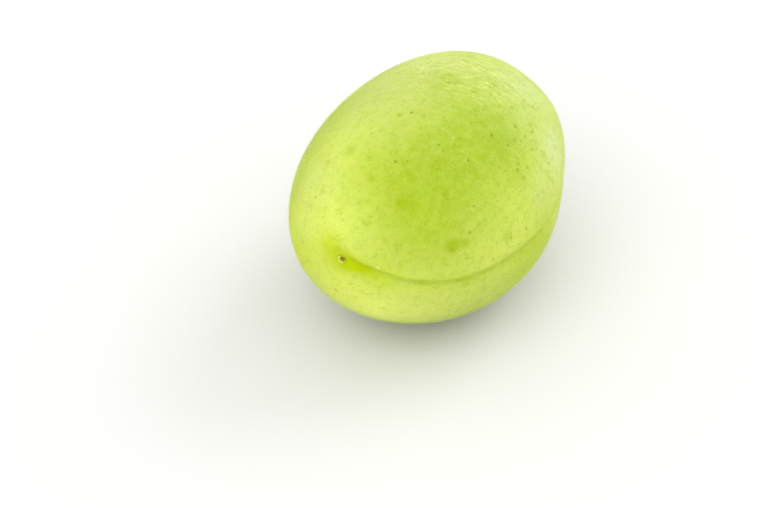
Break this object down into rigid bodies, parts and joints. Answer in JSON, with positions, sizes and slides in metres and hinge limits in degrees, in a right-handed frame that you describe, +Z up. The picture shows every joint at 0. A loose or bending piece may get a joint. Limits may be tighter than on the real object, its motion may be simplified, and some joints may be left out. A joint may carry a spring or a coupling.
{
  "type": "apricot",
  "caption": "Whole green apricot lying on its cheek, egg-shaped, with a suture groove, a style scar at the blossom end and a stem cavity.",
  "frame": {"origin": "under the middle of the fruit's box, on the surface that it rests on", "axes": "+Z up, from the lower cheek to the upper cheek; +Y along the fruit from the blossom end to the stem end; +X towards the suture"},
  "size_m": [0.0362, 0.0474, 0.0348],
  "materials": {
    "apricot_skin": null
  },
  "bodies": {
    "root": {"apricot": "apricot_skin"}
  },
  "joints": []
}
